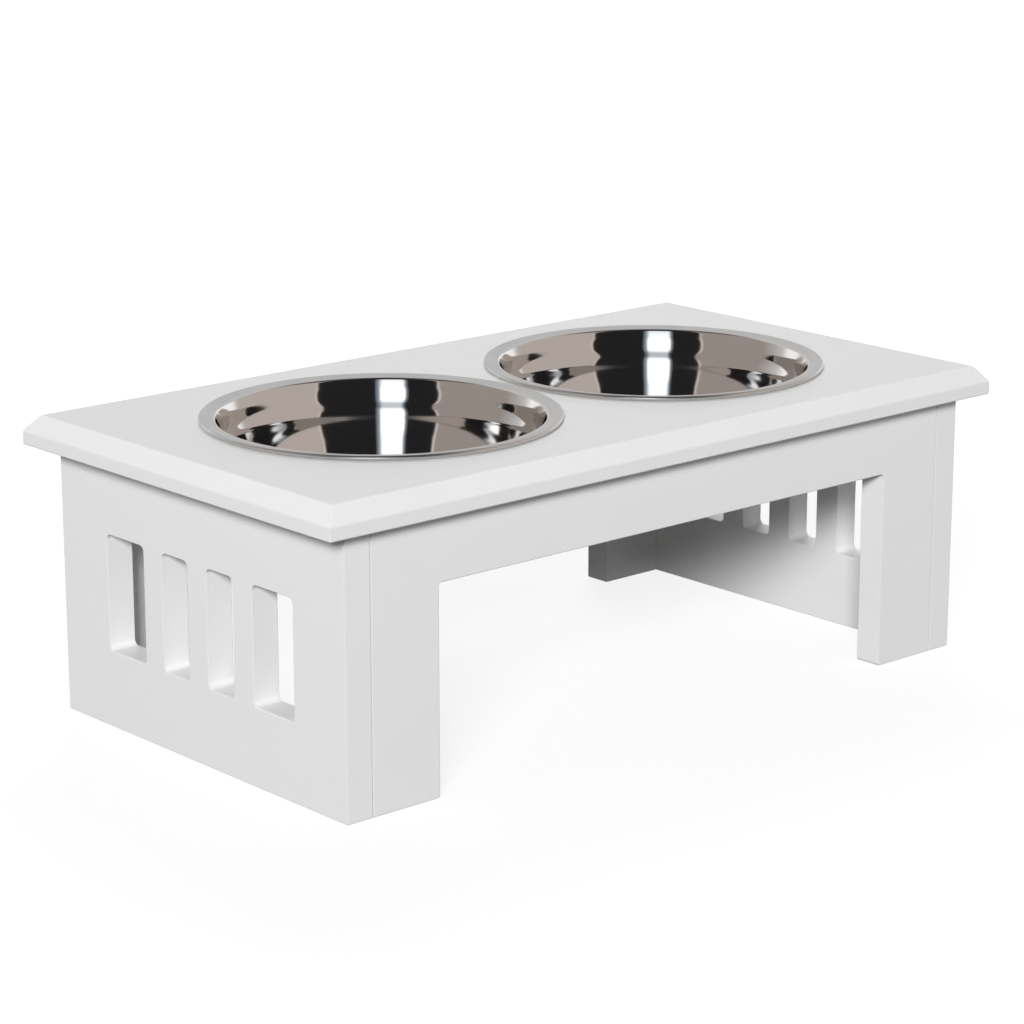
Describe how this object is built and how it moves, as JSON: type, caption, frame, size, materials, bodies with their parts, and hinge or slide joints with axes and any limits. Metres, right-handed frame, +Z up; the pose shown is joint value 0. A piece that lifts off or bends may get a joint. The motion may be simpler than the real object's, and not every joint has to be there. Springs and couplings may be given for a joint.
{
  "type": "elevated dog feeder",
  "caption": "Low painted board bench with slotted ends and arched front and back that holds lift-out steel bowls at a dog's eating height.",
  "frame": {"origin": "on the floor, at the centre of the footprint", "axes": "+X along the bench, +Z up, the front arch looks towards -Y"},
  "size_m": [0.44, 0.242, 0.1546],
  "materials": {
    "white_paint": "satin white paint on fibreboard",
    "bowl_steel": "mirror-polished inside, satin rim",
    "dowel_beech": "bare fluted beech",
    "bolt_steel": "zinc-plated steel",
    "cam_zinc": "die-cast zinc"
  },
  "bodies": {
    "stand": {"top_panel": "white_paint", "left_end_panel": "white_paint", "right_end_panel": "white_paint", "front_apron": "white_paint", "rear_apron": "white_paint", "corner_dowels_front_left": "dowel_beech", "corner_dowels_front_right": "dowel_beech", "corner_dowels_rear_left": "dowel_beech", "corner_dowels_rear_right": "dowel_beech", "top_dowels_left": "dowel_beech", "top_dowels_right": "dowel_beech", "top_dowels_front": "dowel_beech", "top_dowels_rear": "dowel_beech", "corner_cam_bolt_front_left": "bolt_steel", "corner_cam_bolt_front_right": "bolt_steel", "corner_cam_bolt_rear_left": "bolt_steel", "corner_cam_bolt_rear_right": "bolt_steel", "top_cam_bolts_left": "bolt_steel", "top_cam_bolts_right": "bolt_steel", "corner_cam_lock_front_left": "cam_zinc", "corner_cam_lock_front_right": "cam_zinc", "corner_cam_lock_rear_left": "cam_zinc", "corner_cam_lock_rear_right": "cam_zinc", "top_cam_locks_left": "cam_zinc", "top_cam_locks_right": "cam_zinc"},
    "left_bowl": {"left_bowl": "bowl_steel"},
    "right_bowl": {"right_bowl": "bowl_steel"}
  },
  "joints": [
    {"name": "left_bowl_lift", "type": "slide", "parent": "stand", "child": "left_bowl", "axis": [0, 0, 1], "range_m": [0, 0.08]},
    {"name": "right_bowl_lift", "type": "slide", "parent": "stand", "child": "right_bowl", "axis": [0, 0, 1], "range_m": [0, 0.08]}
  ]
}
